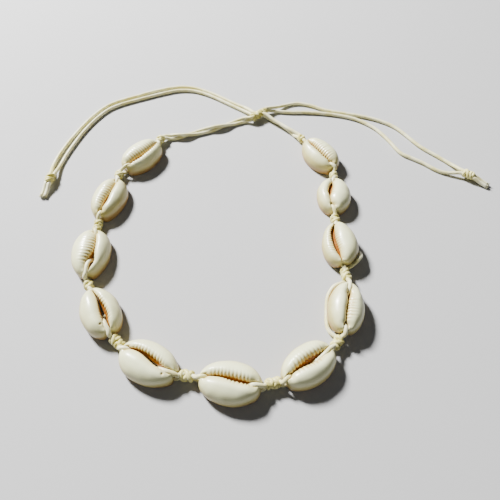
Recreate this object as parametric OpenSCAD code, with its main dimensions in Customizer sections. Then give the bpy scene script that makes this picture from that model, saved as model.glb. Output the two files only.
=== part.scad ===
/* [Shells] */
// Height of a shell that lies on its cut back
shell_h = 7.4; // [6.8:0.1:8]
// Thickness of a shell's wall
wall = 1.3; // [1.1:0.1:1.5]
// Height of the canal's floor at a shell's two ends, where the front strand leaves it
canal_h = 3.7; // [3.5:0.1:3.9]
// Half the width of that canal
canal_r = 1.1; // [1:0.05:1.2]
// How far the cut rim is lifted at both ends, where the back strand runs under it
rim_lift = 1.9; // [1.8:0.05:2]

/* [Cord] */
// Thickness of the cord
cord_d = 1.5; // [1.3:0.1:1.5]

/* [Knots] */
// Thickness of a knot in the string
knot_d = 4.0; // [3.9:0.1:4.2]
// Length of a knot in the string
knot_len = 3.0; // [2.8:0.1:3.1]
// Thickness of the sliding knot that closes the necklace
slide_d = 4.6; // [4.4:0.1:5]
// Half its length, from its middle to the flats at its two ends
slide_half = 4.2; // [3.8:0.1:4.4]
// Thickness of the knot at each pair of free ends
end_d = 4.6; // [4:0.1:5]
// Length of that knot
end_len = 4.8; // [4:0.2:5.4]
// Length of the cord ends behind it
tail_len = 6.5; // [4:0.5:7]

/* [Hidden] */
$fn = 32;
// A cord that lies on the surface, its middle's height, and two strands side by side or stacked
floor_gap = 0.05;
low = cord_d / 2 + floor_gap;
pitch = cord_d + 0.1;
knot_z = knot_d / 2 + 0.2;
slide_z = slide_d / 2 + floor_gap;
end_z = end_d / 2 + floor_gap;
// The straight stretch of a cord where it leaves a knot
lead = 0.7;

// Columns of the shells' table. The heading runs along the string, anticlockwise round the neck,
// and the left of it is the neck's side. egg makes a shell wider ahead, shift and wave curve its
// slit to the left, roll lifts its right side, and bow is how far the back strand leaves the
// middle, most of all at the share bow_at of the half length
X = 0;
Y = 1;
HEADING = 2;
LENGTH = 3;
WIDTH = 4;
EGG = 5;
SLIT = 6;
SHIFT = 7;
WAVE = 8;
ROLL = 9;
BOW = 10;
BOW_AT = 11;
SHELLS = [
  // x, y, heading, length, width, egg, slit, shift, wave, roll, bow, bow_at
  [-35.0, 46.7, 231, 20.6, 13.8, 0.06, 1.0, 0.9, 0.0, 4, 0, 0],
  [-45.2, 22.2, 258, 21.0, 13.6, -0.06, 0.9, 0.3, 0.2, 0, 0, 0],
  [-47.4, -5.0, 271, 21.0, 14.2, -0.08, 1.5, 1.2, 0.3, 4, 0, 0],
  [-39.2, -29.5, 299, 19.8, 13.6, 0.04, 2.4, 1.0, 0.0, 4, 0, 0],
  [-20.2, -47.3, 335, 21.2, 14.0, -0.05, 2.4, 1.0, 0.7, 0, 0, 0],
  [6.5, -53.8, 352, 20.8, 14.2, 0.04, 2.0, 0.5, 0.4, 0, 0, 0],
  [31.7, -48.1, 35, 20.2, 13.8, 0.05, 2.0, 0.3, 0.3, 0, 0, 0],
  [45.8, -27.9, 79, 19.8, 12.8, -0.06, 0.9, 0.6, 0.2, -10, 6.0, 0.0],
  [47.3, -0.9, 92, 19.8, 13.6, 0.02, 1.5, 1.9, -0.3, 8, -5.9, -0.5],
  [47.5, 23.8, 86, 18.0, 13.9, 0.00, 1.6, 1.0, 0.4, 0, 0, 0],
  [43.9, 47.4, 123, 20.4, 13.4, -0.06, 0.9, 0.9, 0.0, 4, 0, 0]
];
KNOTS = [
  // x, y, heading
  [-28.2, 58.2, 236],
  [-43.5, 36.2, 255],
  [-47.4, 8.6, 268],
  [-45.6, -18.2, 296],
  [-31.6, -40.0, 318],
  [-7.2, -51.4, 350],
  [20.0, -53.8, 12],
  [42.0, -40.2, 52],
  [48.0, -13.8, 95],
  [46.8, 11.9, 92],
  [48.7, 35.5, 88],
  [36.4, 58.9, 117]
];

// Places round a shell and along its section. The section's columns are the share of the way from
// the slit's edge to the outline, the share of the height, and 1 on the wall's inner face
AROUND = 30;
SECTION = [
  // share out, share up, inner
  [0.00, 0.80, 0],
  [0.06, 0.95, 0],
  [0.24, 1.00, 0],
  [0.50, 0.94, 0],
  [0.76, 0.76, 0],
  [0.94, 0.52, 0],
  [1.00, 0.32, 0],
  [0.90, 0.00, 0],
  [0.90, 0.00, 1],
  [1.00, 0.34, 1],
  [0.84, 0.60, 1],
  [0.46, 0.70, 1]
];
// The share of its height that a shell loses from its middle to its ends, and the ends' thickness
end_drop = 0.22;
end_wall = 1.9;

// The sliding knot: its middle, its heading, and for the flat where each pair of cords leaves it,
// the flat's middle along and to the left of the heading, and the way it faces from the heading
slide = [17.2, 75.8, 38];
NECK_LEFT_FLAT = [-slide_half, -0.65, 180];
FREE_LEFT_FLAT = [-1.8, 1.3, 108];
NECK_RIGHT_FLAT = [1.8, -1.3, -80];
FREE_RIGHT_FLAT = [slide_half, 0.65, 0];
// The end knots: x, y and the way their tails point
end_left = [-72.7, 34.0, 262];
end_right = [106.8, 36.4, 325];

// Routes of the cords on the surface, as x, y and height of the middle. The pair between the left
// end of the string and the sliding knot is twisted: its rows are x, y and turn, and a turn of 0
// has the first strand on the left, 90 on top
NECK_LEFT = [
  // x, y, turn
  [-24.8, 61.0, 5],
  [-22.2, 61.0, 30],
  [-19.6, 61.2, 75],
  [-16.5, 62.2, 130],
  [-13.2, 63.8, 175],
  [-9.8, 64.9, 200],
  [-6.2, 66.0, 225],
  [-2.6, 67.1, 265],
  [0.9, 68.9, 315],
  [4.4, 70.9, 360],
  [7.8, 72.1, 385],
  [10.8, 73.0, 420]
];
NECK_RIGHT = [
  // x, y, turn
  [34.2, 62.2, 5],
  [32.0, 64.6, 0],
  [29.4, 67.3, 10],
  [26.7, 70.1, 30],
  [23.8, 72.4, 55]
];
FREE_RIGHT_A = [
  // x, y, height
  [25.8, 81.6, 1.8],
  [29.3, 83.7, 1.0],
  [32.8, 85.2, 0.8],
  [37.3, 85.7, 0.8],
  [43.3, 83.9, 0.8],
  [48.8, 81.0, 0.8],
  [53.3, 79.5, 0.8],
  [59.8, 77.9, 0.8],
  [66.8, 76.1, 0.8],
  [73.8, 73.4, 0.8],
  [80.3, 69.2, 0.8],
  [84.8, 63.7, 0.8],
  [90.3, 55.4, 0.8],
  [95.8, 50.0, 0.8],
  [101.0, 44.6, 0.9]
];
FREE_RIGHT_B = [
  // x, y, height
  [25.8, 79.7, 0.9],
  [31.3, 79.1, 0.8],
  [37.8, 79.0, 0.8],
  [44.8, 78.6, 0.8],
  [51.3, 77.7, 0.8],
  [57.3, 76.3, 0.8],
  [62.8, 74.3, 0.8],
  [67.8, 71.1, 0.8],
  [72.5, 66.4, 0.8],
  [76.8, 59.2, 0.8],
  [80.6, 51.2, 0.8],
  [85.2, 47.8, 0.8],
  [89.8, 44.6, 0.8],
  [94.0, 40.8, 0.8],
  [98.4, 38.6, 0.9]
];
FREE_LEFT_A = [
  // x, y, height
  [11.2, 81.2, 1.5],
  [6.6, 84.5, 0.9],
  [1.7, 88.0, 0.8],
  [-3.2, 91.5, 0.8],
  [-8.4, 94.7, 0.8],
  [-15.6, 98.0, 0.8],
  [-23.6, 98.7, 0.8],
  [-31.4, 96.8, 0.8],
  [-38.4, 94.1, 0.8],
  [-45.2, 90.8, 0.8],
  [-51.8, 87.8, 0.8],
  [-57.8, 83.5, 0.8],
  [-63.2, 75.8, 0.8],
  [-67.1, 67.6, 0.8],
  [-70.3, 59.2, 0.8],
  [-72.8, 50.8, 0.8],
  [-74.0, 42.9, 0.9]
];
FREE_LEFT_B = [
  // x, y, height
  [10.0, 79.8, 0.9],
  [5.4, 83.1, 0.8],
  [0.6, 86.5, 0.8],
  [-4.4, 90.0, 0.8],
  [-9.2, 92.9, 0.8],
  [-15.8, 95.6, 0.8],
  [-23.2, 96.0, 0.8],
  [-30.6, 93.8, 0.8],
  [-37.8, 90.9, 0.8],
  [-44.5, 88.0, 0.8],
  [-51.1, 84.9, 0.8],
  [-56.6, 80.8, 0.8],
  [-61.2, 74.0, 0.8],
  [-64.8, 66.3, 0.8],
  [-67.5, 58.2, 0.8],
  [-69.7, 50.0, 0.8],
  [-71.0, 42.6, 0.9]
];
last_knot = KNOTS[len(KNOTS) - 1];

function two(i) = str(i < 10 ? "0" : "", i);
function unit(v) = v / norm(v);
function clamp(v) = min(1, max(0, v));
function mix(a, b, share) = a + (b - a) * share;
function along(heading) = [cos(heading), sin(heading), 0];
function left_of(heading) = [-sin(heading), cos(heading), 0];
function reversed(list) = [for (i = [len(list) - 1:-1:0]) list[i]];
function softened(v, power) = sign(v) * pow(abs(v), power);

// Where a shell's slit runs, and how far it and its canals open
function slit_end(s) = s[LENGTH] / 2 - end_wall;
function slit_line(s, x) = let (share = 2 * x / s[LENGTH])
  s[SHIFT] * (1 - share * share) - s[WAVE] * sin(180 * share);
function slit_half(s, x) = mix(s[SLIT] / 2, canal_r, clamp((abs(x) - slit_end(s) + 5) / 3.5));

// The height of a shell's top and of its cut rim above a place of it
function top_at(s, p) = min(
  shell_h * (1 - end_drop * pow(abs(2 * p[0] / s[LENGTH]), 4)),
  canal_h + 1.5 * max(0, abs(p[1] - slit_line(s, p[0])) - canal_r)
    + 3 * max(0, slit_end(s) - 1 - abs(p[0])));
function rim_at(s, p) = abs(p[0]) < s[LENGTH] / 4 ? 0 : rim_lift * clamp(3.4 - abs(p[1]));

// A point of a shell that lies level with its middle at the origin
function outline_at(s, a) = [
  s[LENGTH] / 2 * cos(a),
  s[WIDTH] / 2 * sin(a) * (1 + s[EGG] * cos(a))];
function slit_at(s, a) = let (x = slit_end(s) * softened(cos(a), 0.6))
  [x, slit_line(s, x) + slit_half(s, x) * softened(sin(a), 0.6)];
function shell_point(s, a, row) =
  let (
    inside = slit_at(s, a),
    outside = outline_at(s, a),
    share = max(0.04, row[0] - row[2] * wall / norm(outside - inside)),
    p = mix(inside, outside, share))
  [p[0], p[1], mix(rim_at(s, p), top_at(s, p), row[1])];

// A level shell's point rolled about its length, and then put in its place
function rolled(p, a) = [p[0], p[1] * cos(a) + p[2] * sin(a), p[2] * cos(a) - p[1] * sin(a)];
function shell_points(s) = [
  for (i = [0:AROUND - 1], row = SECTION) rolled(shell_point(s, 360 * i / AROUND, row), s[ROLL])];
function lowest(s) = min([for (p = shell_points(s)) p[2]]);
function flat_place(s, p) =
  [s[X], s[Y], p[2]] + along(s[HEADING]) * p[0] + left_of(s[HEADING]) * p[1];
function place(s, p, drop) = flat_place(s, rolled(p, s[ROLL]) - [0, 0, drop]);

// A smooth line through a route's points, with a few steps between each two of them
function on_curve(a, b, c, d, t) = 0.5 * (2 * b + (c - a) * t
  + (2 * a - 5 * b + 4 * c - d) * t * t + (3 * b - a - 3 * c + d) * t * t * t);
function smooth(route, steps) = let (end = len(route) - 1) concat(
  [for (i = [0:end - 1], k = [0:steps - 1])
    on_curve(route[max(i - 1, 0)], route[i], route[i + 1], route[min(i + 2, end)], k / steps)],
  [route[end]]);

// A tube along a line of points, its two ends square to their first and last stretch
module tube(line) {
  sides = 8;
  end = len(line) - 1;
  points = [
    for (
      i = [0:end],
      ahead = [unit(line[min(i + 1, end)] - line[max(i - 1, 0)])],
      side = [unit(cross(ahead, [0, 0, 1]))],
      a = [0:360 / sides:359])
    line[i] + cord_d / 2 * (side * cos(a) + cross(side, ahead) * sin(a))];
  walls = [
    for (i = [0:end - 1], k = [0:sides - 1], next = [(k + 1) % sides])
    [i * sides + k, i * sides + next, (i + 1) * sides + next, (i + 1) * sides + k]];
  first_cap = [for (k = [sides - 1:-1:0]) k];
  last_cap = [for (k = [0:sides - 1]) end * sides + k];
  color("lemonchiffon")
    polyhedron(points, concat(walls, [first_cap, last_cap]), convexity = 4);
}

// Where a strand meets a knot of the string: way is 1 ahead and -1 behind, rise 1 for the upper of
// two strands and -1 for the lower, side 1 for the left of two and -1 for the right, or 0
function knot_end(k, way, rise, side) = [k[X], k[Y], knot_z + rise * pitch / 2]
  + along(k[HEADING]) * way * knot_len / 2 + left_of(k[HEADING]) * side * pitch / 2;
// Those places, and a short straight stretch out of them
function out_of(place, facing) = [place, place + along(facing) * lead];

// The strand that runs up over a shell's end canals and along its slit under the lips
function front_line(i) =
  let (
    s = SHELLS[i],
    drop = lowest(s),
    half = s[LENGTH] / 2,
    inner = slit_end(s),
    middle = [
      for (p = [
        [-half - 0.4, canal_h + 0.35],
        [-half + 0.35, canal_h + 0.95],
        [-inner, canal_h + 0.95],
        [-inner + 2.2, canal_h + 0.45],
        [-inner + 5, canal_h - 0.1],
        [0, canal_h - 0.3],
        [inner - 5, canal_h - 0.1],
        [inner - 2.2, canal_h + 0.45],
        [inner, canal_h + 0.95],
        [half - 0.35, canal_h + 0.95],
        [half + 0.4, canal_h + 0.35]])
      place(s, [p[0], slit_line(s, p[0]), p[1]], drop)])
  smooth(concat(
    out_of(knot_end(KNOTS[i], 1, 1, 0), KNOTS[i][HEADING]),
    middle,
    reversed(out_of(knot_end(KNOTS[i + 1], -1, 1, 0), KNOTS[i + 1][HEADING] + 180))), 1);

// The strand that runs along the surface under the shell
function bow_at(s, share) = s[BOW] * (share < s[BOW_AT]
  ? sin(90 * (share + 1) / (s[BOW_AT] + 1))
  : cos(90 * (share - s[BOW_AT]) / (1 - s[BOW_AT])));
function back_line(i) =
  let (
    s = SHELLS[i],
    reach = s[LENGTH] / 2 + 0.4,
    middle = [
      for (share = [-1, -0.85, -0.65, -0.4, -0.1, 0.2, 0.5, 0.75, 0.9, 1])
      flat_place(s, [reach * share, bow_at(s, share), low + (abs(share) > 0.95 ? 0.15 : 0)])])
  smooth(concat(
    out_of(knot_end(KNOTS[i], 1, -1, 0), KNOTS[i][HEADING]),
    middle,
    reversed(out_of(knot_end(KNOTS[i + 1], -1, -1, 0), KNOTS[i + 1][HEADING] + 180))), 1);

// A knot's round body about X, with flats at both ends
module barrel(long, thick) {
  flat_r = min(pitch / 2 + cord_d / 2 + 0.1, thick / 2 - 0.2);
  rotate([0, 90, 0])
    rotate_extrude()
      polygon([
        [0, -long / 2],
        [flat_r, -long / 2],
        [thick / 2, -long / 6],
        [thick / 2, long / 6],
        [flat_r, long / 2],
        [0, long / 2]]);
}

// The place and the facing of one of the sliding knot's flats, at the upper or the lower strand
function slide_place(flat, rise) = [slide[X], slide[Y], slide_z + rise * pitch / 2]
  + along(slide[HEADING]) * flat[0] + left_of(slide[HEADING]) * flat[1];
function out_of_slide(flat, rise) = out_of(slide_place(flat, rise), slide[HEADING] + flat[2]);
// Where two strands lie side by side at an end knot, on the cords' side or the tails'
function end_place(e, way, side) = [e[X], e[Y], end_z]
  + along(e[HEADING]) * way * end_len / 2 + left_of(e[HEADING]) * side * pitch / 2;

// One strand of a pair that is laid by a table of x, y and turn: which is 1 or -1
function pair_strand(rows, which) = let (end = len(rows) - 1) [
  for (i = [0:end])
  let (
    step = rows[min(i + 1, end)] - rows[max(i - 1, 0)],
    heading = atan2(step[Y], step[X]),
    turn = rows[i][2],
    apart = which * (pitch / 2 + 0.1),
    middle = low + abs(apart * sin(turn)))
  [rows[i][X], rows[i][Y], middle + apart * sin(turn)] + left_of(heading) * apart * cos(turn)];
function neck_line(rows, which, k, way, flat) = smooth(concat(
  out_of(knot_end(k, way, 0, way * which), k[HEADING] + (way > 0 ? 0 : 180)),
  pair_strand(rows, which),
  reversed(out_of_slide(flat, which))), 1);
function free_line(rows, which, flat, e, side) =
  let (
    first = out_of_slide(flat, which),
    last = out_of(end_place(e, -1, side), e[HEADING] + 180))
  concat([first[0]], smooth(concat([first[1]], rows, [last[1]]), 2), [last[0]]);
function tail_line(e, side) = let (start = end_place(e, 1, side)) [
  start,
  start + along(e[HEADING]) * lead,
  start + along(e[HEADING]) * tail_len / 2 - [0, 0, 0.9],
  [start[X], start[Y], low] + along(e[HEADING] + side * 4) * tail_len];

module shell(s) {
  rows = len(SECTION);
  faces = [
    for (i = [0:AROUND - 1], j = [0:rows - 1], after = [(i + 1) % AROUND], next = [(j + 1) % rows])
    [i * rows + j, i * rows + next, after * rows + next, after * rows + j]];
  color("ivory")
    translate([s[X], s[Y], -lowest(s)])
      rotate(s[HEADING])
        polyhedron(shell_points(s), faces, convexity = 6);
}

module knot(k) {
  color("khaki")
    translate([k[X], k[Y], knot_z])
      rotate(k[HEADING])
        barrel(knot_len, knot_d);
}

module slide_knot() {
  color("khaki")
    translate([slide[X], slide[Y], slide_z])
      rotate(slide[HEADING])
        difference() {
          barrel(2 * slide_half, slide_d);
          flat_cut(FREE_LEFT_FLAT);
          flat_cut(NECK_RIGHT_FLAT);
        }
}
module flat_cut(flat) {
  translate([flat[0], flat[1], 0])
    rotate(flat[2])
      translate([0, -slide_half, -slide_d])
        cube(2 * [slide_half, slide_half, slide_d]);
}

module end_knot(e) {
  color("khaki")
    translate([e[X], e[Y], end_z])
      rotate(e[HEADING])
        barrel(end_len, end_d);
}
module tails(e) {
  tube(tail_line(e, 1));
  tube(tail_line(e, -1));
}

module free_cord(name) {
  if (name == "neck_cord_left_a") tube(neck_line(NECK_LEFT, 1, KNOTS[0], -1, NECK_LEFT_FLAT));
  if (name == "neck_cord_left_b") tube(neck_line(NECK_LEFT, -1, KNOTS[0], -1, NECK_LEFT_FLAT));
  if (name == "neck_cord_right_a") tube(neck_line(NECK_RIGHT, 1, last_knot, 1, NECK_RIGHT_FLAT));
  if (name == "neck_cord_right_b") tube(neck_line(NECK_RIGHT, -1, last_knot, 1, NECK_RIGHT_FLAT));
  if (name == "free_cord_left_a") tube(free_line(FREE_LEFT_A, 1, FREE_LEFT_FLAT, end_left, -1));
  if (name == "free_cord_left_b") tube(free_line(FREE_LEFT_B, -1, FREE_LEFT_FLAT, end_left, 1));
  if (name == "free_cord_right_a") tube(free_line(FREE_RIGHT_A, 1, FREE_RIGHT_FLAT, end_right, 1));
  if (name == "free_cord_right_b") tube(free_line(FREE_RIGHT_B, -1, FREE_RIGHT_FLAT, end_right, -1));
}

function numbered(name, count) = [for (i = [1:count]) str(name, "_", two(i))];
SHELL_NODES = numbered("shell", len(SHELLS));
FRONT_NODES = numbered("front_strand", len(SHELLS));
BACK_NODES = numbered("back_strand", len(SHELLS));
KNOT_NODES = numbered("knot", len(KNOTS));
CORD_NODES = [
  "neck_cord_left_a", "neck_cord_left_b", "neck_cord_right_a", "neck_cord_right_b",
  "free_cord_left_a", "free_cord_left_b", "free_cord_right_a", "free_cord_right_b"];

for (i = [0:len(SHELLS) - 1]) {
  shell(SHELLS[i]);
  tube(front_line(i));
  tube(back_line(i));
}
for (i = [0:len(KNOTS) - 1]) knot(KNOTS[i]);
for (name = CORD_NODES) free_cord(name);
slide_knot();
end_knot(end_left);  // end_knot_left
end_knot(end_right);  // end_knot_right
tails(end_left);  // tails_left
tails(end_right);  // tails_right
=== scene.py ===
import math
import random
import bpy
import bmesh
from mathutils import Matrix, Vector, noise


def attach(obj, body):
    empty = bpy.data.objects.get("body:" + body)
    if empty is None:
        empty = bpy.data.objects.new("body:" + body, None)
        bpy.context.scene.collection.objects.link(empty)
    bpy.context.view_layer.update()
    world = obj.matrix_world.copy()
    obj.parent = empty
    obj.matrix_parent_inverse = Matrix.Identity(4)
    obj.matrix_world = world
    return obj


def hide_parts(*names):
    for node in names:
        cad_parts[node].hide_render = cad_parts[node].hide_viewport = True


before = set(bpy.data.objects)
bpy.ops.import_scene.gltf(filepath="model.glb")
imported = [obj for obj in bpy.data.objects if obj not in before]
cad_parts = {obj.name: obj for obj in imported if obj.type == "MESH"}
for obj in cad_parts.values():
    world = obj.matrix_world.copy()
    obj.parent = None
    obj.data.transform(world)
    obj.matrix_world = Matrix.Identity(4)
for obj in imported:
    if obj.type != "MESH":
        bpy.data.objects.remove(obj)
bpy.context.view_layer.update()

mm = 0.001
mergeWithin = 2e-7       # metres: only points that are the same one are merged
random.seed(11)

# the camera stands in front of the near shells and looks down on the string
view = {"place": (12.8, -97.6, 142.75), "down": 56.0, "lens": 32.0, "sensor": 36.0,
        "near": 0.005, "far": 20.0}
cameraData = bpy.data.cameras.new("camera")
cameraData.lens = view["lens"]
cameraData.sensor_width = view["sensor"]
cameraData.clip_start = view["near"]
cameraData.clip_end = view["far"]
camera = bpy.data.objects.new("camera", cameraData)
camera.location = Vector(view["place"]) * mm
camera.rotation_euler = (math.radians(90.0 - view["down"]), 0.0, 0.0)
bpy.context.scene.collection.objects.link(camera)
bpy.context.scene.camera = camera
print("camera placed")


# small helpers, all in millimetres and degrees
def along(heading):
    turn = math.radians(heading)
    return Vector((math.cos(turn), math.sin(turn), 0.0))


def leftOf(heading):
    turn = math.radians(heading)
    return Vector((-math.sin(turn), math.cos(turn), 0.0))


def mix(a, b, share):
    return a + (b - a) * share


def mixed(a, b, share):
    return tuple(mix(x, y, share) for x, y in zip(a, b))


def clamp(value):
    return min(1.0, max(0.0, value))


def ease(value):
    value = clamp(value)
    return value * value * (3.0 - 2.0 * value)


def softened(value, power):
    return math.copysign(abs(value) ** power, value)


def softMin(a, b, blur):
    gap = (b - a) / blur
    if gap > 30.0:
        return a
    if gap < -30.0:
        return b
    return a - blur * math.log(1.0 + math.exp(-gap))


def onCurve(a, b, c, d, t):
    return 0.5 * (2 * b + (c - a) * t + (2 * a - 5 * b + 4 * c - d) * t * t
                  + (3 * b - a - 3 * c + d) * t * t * t)


def smoothLine(route, steps):
    last = len(route) - 1
    line = []
    for i in range(last):
        four = [route[max(i - 1, 0)], route[i], route[i + 1], route[min(i + 2, last)]]
        line += [onCurve(*four, k / steps) for k in range(steps)]
    return line + [route[last]]


def relaxed(line, spacing, passes):
    # even steps along the line, whose corners are then eased; its two ends stay
    even, left = [line[0]], spacing
    for a, b in zip(line, line[1:]):
        step = (b - a).length
        while step and left <= step:
            even.append(a + (b - a) * (left / step))
            left += spacing
        left -= step
    if (even[-1] - line[-1]).length < spacing / 2:
        even.pop()
    even.append(line[-1])
    for _ in range(passes):
        even = ([even[0]] + [(a + 2 * b + c) / 4 for a, b, c in zip(even, even[1:], even[2:])]
                + [even[-1]])
    return even


def newMaterial(name):
    material = bpy.data.materials.new(name)
    material.use_nodes = True
    nodes = material.node_tree.nodes
    links = material.node_tree.links
    shader = nodes["Principled BSDF"]

    def add(kind, inputs=None, **settings):
        node = nodes.new(kind)
        for key, value in settings.items():
            setattr(node, key, value)
        for key, value in (inputs or {}).items():
            if isinstance(value, bpy.types.NodeSocket):
                links.new(value, node.inputs[key])
            else:
                node.inputs[key].default_value = value
        return node

    return material, shader, add, links


def ramp(add, factor, stops):
    node = add("ShaderNodeValToRGB", {"Fac": factor})
    node.color_ramp.interpolation = "EASE"
    while len(node.color_ramp.elements) < len(stops):
        node.color_ramp.elements.new(0.5)
    for element, (place, colour) in zip(node.color_ramp.elements, stops):
        element.position = place
        element.color = (*colour, 1.0)
    return node.outputs["Color"]


def blendColour(add, factor, a, b):
    node = add("ShaderNodeMix", data_type="RGBA", blend_type="MIX")
    tree = node.id_data
    for index, value in ((0, factor), (6, a), (7, b)):
        if isinstance(value, bpy.types.NodeSocket):
            tree.links.new(value, node.inputs[index])
        else:
            node.inputs[index].default_value = value
    return node.outputs[2]


def maths(add, operation, *values):
    node = add("ShaderNodeMath", operation=operation)
    for index, value in enumerate(values):
        if isinstance(value, bpy.types.NodeSocket):
            node.id_data.links.new(value, node.inputs[index])
        else:
            node.inputs[index].default_value = value
    return node.outputs[0]


# light and warm vary at random along the cord; the groove colour is painted shade between the
# plies
cordLook = {
    "light": (0.89, 0.865, 0.56), "warm": (0.74, 0.68, 0.30), "paintedGrooveShade": (0.36, 0.31, 0.07),
    "plies": 7, "pitch": 2.6 * mm, "roughness": 0.42, "sheen": 0.35, "sheenRoughness": 0.4,
    "patchScale": 240.0, "fibreScale": 2600.0, "grooveShade": 0.30, "fibreHeight": 0.35,
    "bump": 0.35, "bumpHeight": 0.04 * mm,
}


def cordMaterial(name, look):
    # silky cord: fine slanting plies from its own UV map, u round the cord and v metres along it
    material, shader, add, links = newMaterial(name)
    uv = add("ShaderNodeUVMap", uv_map="cordMap").outputs["UV"]
    parts = add("ShaderNodeSeparateXYZ", {"Vector": uv})
    turn = maths(add, "MULTIPLY", parts.outputs["X"], look["plies"])
    run = maths(add, "DIVIDE", parts.outputs["Y"], look["pitch"])
    phase = maths(add, "ADD", turn, run)
    wave = maths(add, "SINE", maths(add, "MULTIPLY", phase, 2.0 * math.pi))
    ply = maths(add, "MULTIPLY_ADD", wave, 0.5, 0.5)
    spot = add("ShaderNodeTexCoord").outputs["Object"]
    patches = add("ShaderNodeTexNoise", {"Vector": spot, "Scale": look["patchScale"],
                                         "Detail": 3.0}).outputs["Fac"]
    fibres = add("ShaderNodeTexNoise", {"Vector": spot, "Scale": look["fibreScale"],
                                        "Detail": 2.0}).outputs["Fac"]
    tint = ramp(add, patches, [(0.35, look["warm"]), (0.62, look["light"])])
    # painted shade: the grooves between the plies are darkened towards the groove colour
    shade = maths(add, "MULTIPLY_ADD", ply, look["grooveShade"], 1.0 - look["grooveShade"])
    colour = blendColour(add, shade, (*look["paintedGrooveShade"], 1.0), tint)
    links.new(colour, shader.inputs["Base Color"])
    height = maths(add, "MULTIPLY_ADD", fibres, look["fibreHeight"], ply)
    bump = add("ShaderNodeBump", {"Height": height, "Strength": look["bump"],
                                  "Distance": look["bumpHeight"]})
    links.new(bump.outputs["Normal"], shader.inputs["Normal"])
    shader.inputs["Roughness"].default_value = look["roughness"]
    shader.inputs["Sheen Weight"].default_value = look["sheen"]
    shader.inputs["Sheen Roughness"].default_value = look["sheenRoughness"]
    return material


shellLook = {
    # top is the shell's own ivory; side and foot are painted shade down the sides, the foot also
    # painted glow
    "top": (0.84, 0.865, 0.52), "side": (0.49, 0.42, 0.13), "paintedFootShadeGlow": (0.34, 0.19, 0.035),
    # cut is partly the cut layers' own colour, partly painted glow through thin edges
    # inside and insidePale are painted glow and shade of the hollow
    "cut": (0.60, 0.42, 0.11), "inside": (0.21, 0.062, 0.003), "insidePale": (0.31, 0.125, 0.010),
    # groove is painted shade in the grooves between the ribs
    "paintedGrooveShade": (0.50, 0.37, 0.11), "speck": (0.93, 0.90, 0.80),
    "cloudScale": 130.0, "speckScale": 900.0, "drift": 0.34, "specks": 0.10, "lip": 0.75,
    "rim": 0.8, "roughness": 0.33, "roughSpread": 0.22, "bump": 0.12, "bumpHeight": 0.12 * mm,
    "coat": 0.2, "coatRoughness": 0.16,
}


def shellMaterial(name, look, warmth):
    # shade attribute: share from the slit, height, painted glow inside, painted shade in grooves
    material, shader, add, links = newMaterial(name)
    shade = add("ShaderNodeAttribute", attribute_name="shade", attribute_type="GEOMETRY")
    parts = add("ShaderNodeSeparateColor", {"Color": shade.outputs["Color"]})
    fromSlit, height, inner = (parts.outputs[k] for k in ("Red", "Green", "Blue"))
    rib = shade.outputs["Alpha"]
    spot = add("ShaderNodeTexCoord").outputs["Object"]
    clouds = add("ShaderNodeTexNoise", {"Vector": spot, "Scale": look["cloudScale"],
                                        "Detail": 4.0, "Roughness": 0.55}).outputs["Fac"]
    specks = add("ShaderNodeTexNoise", {"Vector": spot, "Scale": look["speckScale"],
                                        "Detail": 3.0}).outputs["Fac"]
    drift = maths(add, "MULTIPLY_ADD", clouds, look["drift"], -look["drift"] / 2)
    # painted shade and glow: darker from the top down the sides to an orange-brown foot, higher
    # per shell
    level = maths(add, "ADD", height, maths(add, "SUBTRACT", drift, 0.10 * warmth))
    body = ramp(add, level, [(0.04 + 0.08 * warmth, look["paintedFootShadeGlow"]),
                             (0.36 + 0.10 * warmth, look["side"]),
                             (0.67 + 0.12 * warmth, mixed(look["side"], look["top"], 0.70)),
                             (0.92, look["top"])])
    body = blendColour(add, maths(add, "MULTIPLY", specks, look["specks"]), body,
                       (*look["speck"], 1.0))
    # painted shade: the grooves between the ribs and the dimple's hollow are tinted darker
    body = blendColour(add, ramp(add, rib, [(0.08, (0.0,) * 3), (0.70, (0.85,) * 3)]), body,
                       (*look["paintedGrooveShade"], 1.0))
    # painted shade and glow: the lip turns tan, then orange-brown, where it rolls into the slit
    lip = ramp(add, maths(add, "ADD", fromSlit, maths(add, "MULTIPLY", drift, 0.12)),
               [(0.0, (1.0,) * 3), (0.07, (0.45,) * 3), (0.30, (0.0,) * 3)])
    body = blendColour(add, maths(add, "MULTIPLY", lip, look["lip"]), body, (*look["cut"], 1.0))
    # painted glow and shade: the hollow's walls are dark orange-brown, lit through the thin shell
    inside = ramp(add, clouds, [(0.3, look["inside"]), (0.75, look["insidePale"])])
    body = blendColour(add, ramp(add, inner, [(0.10, (0.0,) * 3), (0.45, (1.0,) * 3)]), body,
                       inside)
    # the ground-off rim takes the cut colour: partly its own, partly painted glow through the edge
    rim = ramp(add, height, [(0.0, (1.0,) * 3), (0.035, (0.0,) * 3)])
    body = blendColour(add, maths(add, "MULTIPLY", rim, look["rim"]), body, (*look["cut"], 1.0))
    links.new(body, shader.inputs["Base Color"])
    rough = maths(add, "MULTIPLY_ADD", clouds, look["roughSpread"], look["roughness"] - 0.08)
    links.new(rough, shader.inputs["Roughness"])
    bump = add("ShaderNodeBump", {"Height": maths(add, "MULTIPLY_ADD", clouds, 1.0, specks),
                                  "Strength": look["bump"], "Distance": look["bumpHeight"]})
    links.new(bump.outputs["Normal"], shader.inputs["Normal"])
    shader.inputs["Coat Weight"].default_value = look["coat"]
    shader.inputs["Coat Roughness"].default_value = look["coatRoughness"]
    return material


cordCream = cordMaterial("silkyCord", cordLook)
# the knots take a darker, yellower copy of the cord colour: painted shade of the wound knots
cordKnotShade = cordMaterial("knotShadeCord", {**cordLook, "light": (0.80, 0.745, 0.30),
                                           "warm": (0.52, 0.46, 0.09), "pitch": 2.0 * mm})
cordEnds = cordMaterial("frayedCord", {**cordLook, "light": (0.89, 0.87, 0.62),
                                       "warm": (0.75, 0.70, 0.36)})
print("materials ready")


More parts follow.
